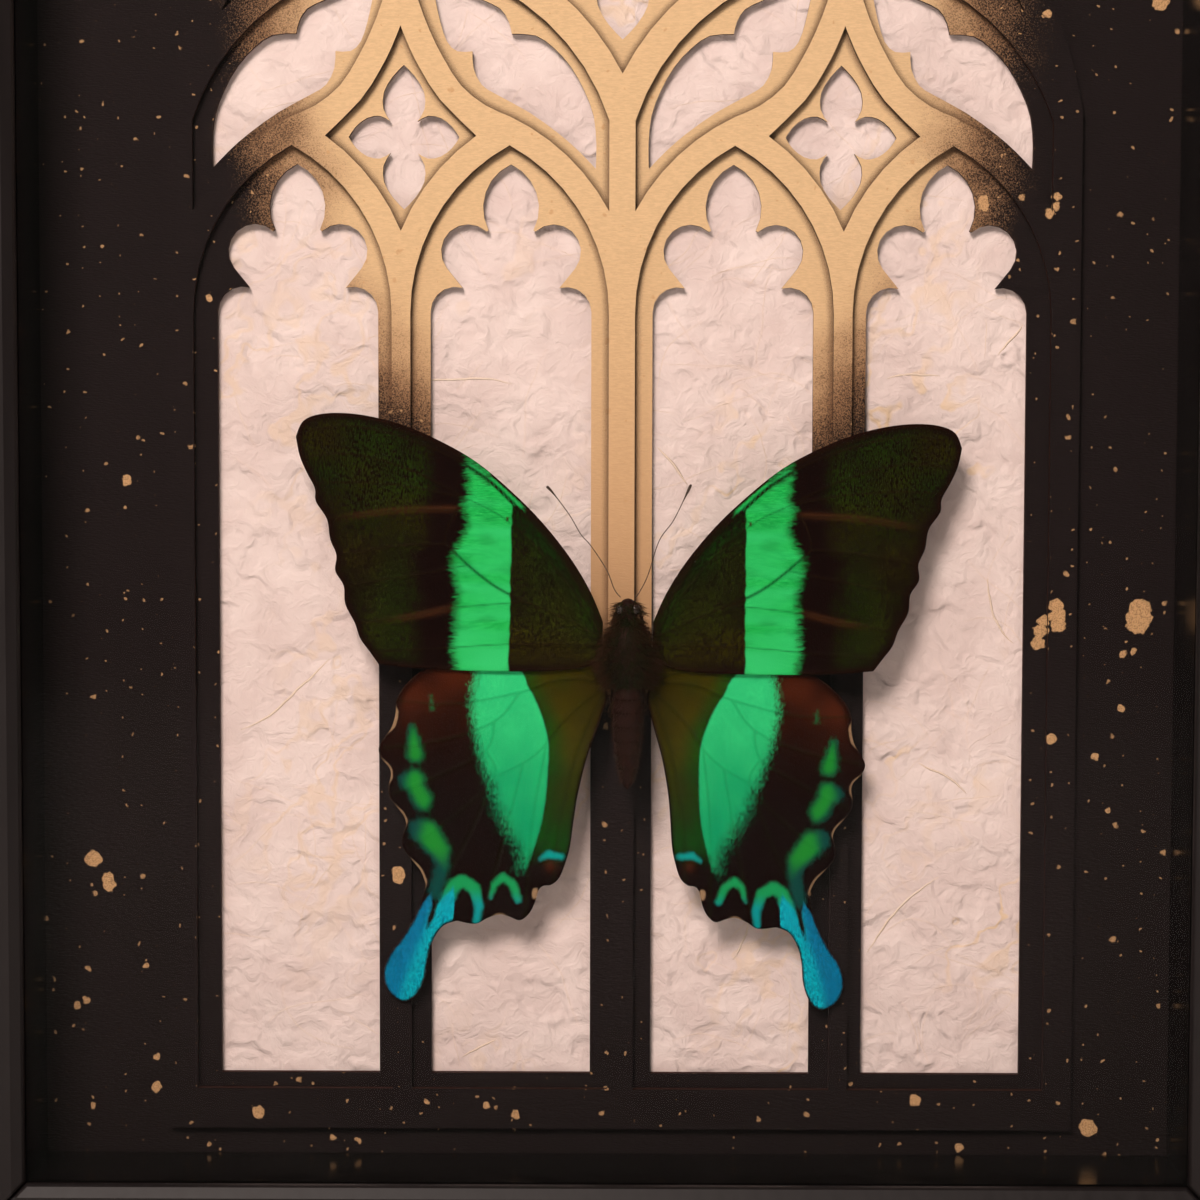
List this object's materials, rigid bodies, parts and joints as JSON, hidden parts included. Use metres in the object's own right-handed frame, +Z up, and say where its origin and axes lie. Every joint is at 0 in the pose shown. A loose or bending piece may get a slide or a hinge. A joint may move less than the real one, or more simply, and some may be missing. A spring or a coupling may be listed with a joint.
{
  "type": "framed butterfly specimen",
  "caption": "Pinned swallowtail butterfly, wings spread, before a layered Gothic tracery window in a deep glazed shadow box that stands or hangs.",
  "frame": {"origin": "under the middle of the box, on the surface that it stands on", "axes": "+Z up along the height, -Y out of the glass towards the viewer, +X to the viewer's right"},
  "size_m": [0.2414, 0.042, 0.3048],
  "materials": {
    "black_lacquer": "semi-gloss black lacquer on wood",
    "black_liner": "glossy black",
    "clear_glass": "clear, polished",
    "gilded_card": "matt black card sprayed with gold",
    "mulberry_paper": "matt, fibrous, wrinkled",
    "foam_board": "matt white",
    "backing_board": "smooth brown hardboard",
    "plated_steel": "plated, satin",
    "dark_chitin": "dark brown, furred",
    "wing_scales": "dusted green scales with a silky sheen"
  },
  "bodies": {
    "root": {"frame_bottom": "black_lacquer", "frame_right": "black_lacquer", "frame_top": "black_lacquer", "frame_left": "black_lacquer", "spacer_left": "black_liner", "spacer_right": "black_liner", "spacer_bottom": "black_liner", "spacer_top": "black_liner", "glass_pane": "clear_glass", "window_plate": "gilded_card", "tracery_mat": "gilded_card", "mulberry_paper": "mulberry_paper", "mount_board": "foam_board", "backing_board": "backing_board", "framers_point_left_1": "plated_steel", "framers_point_left_2": "plated_steel", "framers_point_right_1": "plated_steel", "framers_point_right_2": "plated_steel", "framers_point_bottom_1": "plated_steel", "framers_point_bottom_2": "plated_steel", "framers_point_top_1": "plated_steel", "framers_point_top_2": "plated_steel", "sawtooth_hanger": "plated_steel", "hanger_nail_left": "plated_steel", "hanger_nail_right": "plated_steel", "specimen_pin": "plated_steel", "body": "dark_chitin", "antenna_left": "dark_chitin", "antenna_right": "dark_chitin", "forewing_left": "wing_scales", "forewing_right": "wing_scales", "hindwing_left": "wing_scales", "hindwing_right": "wing_scales"}
  },
  "joints": []
}
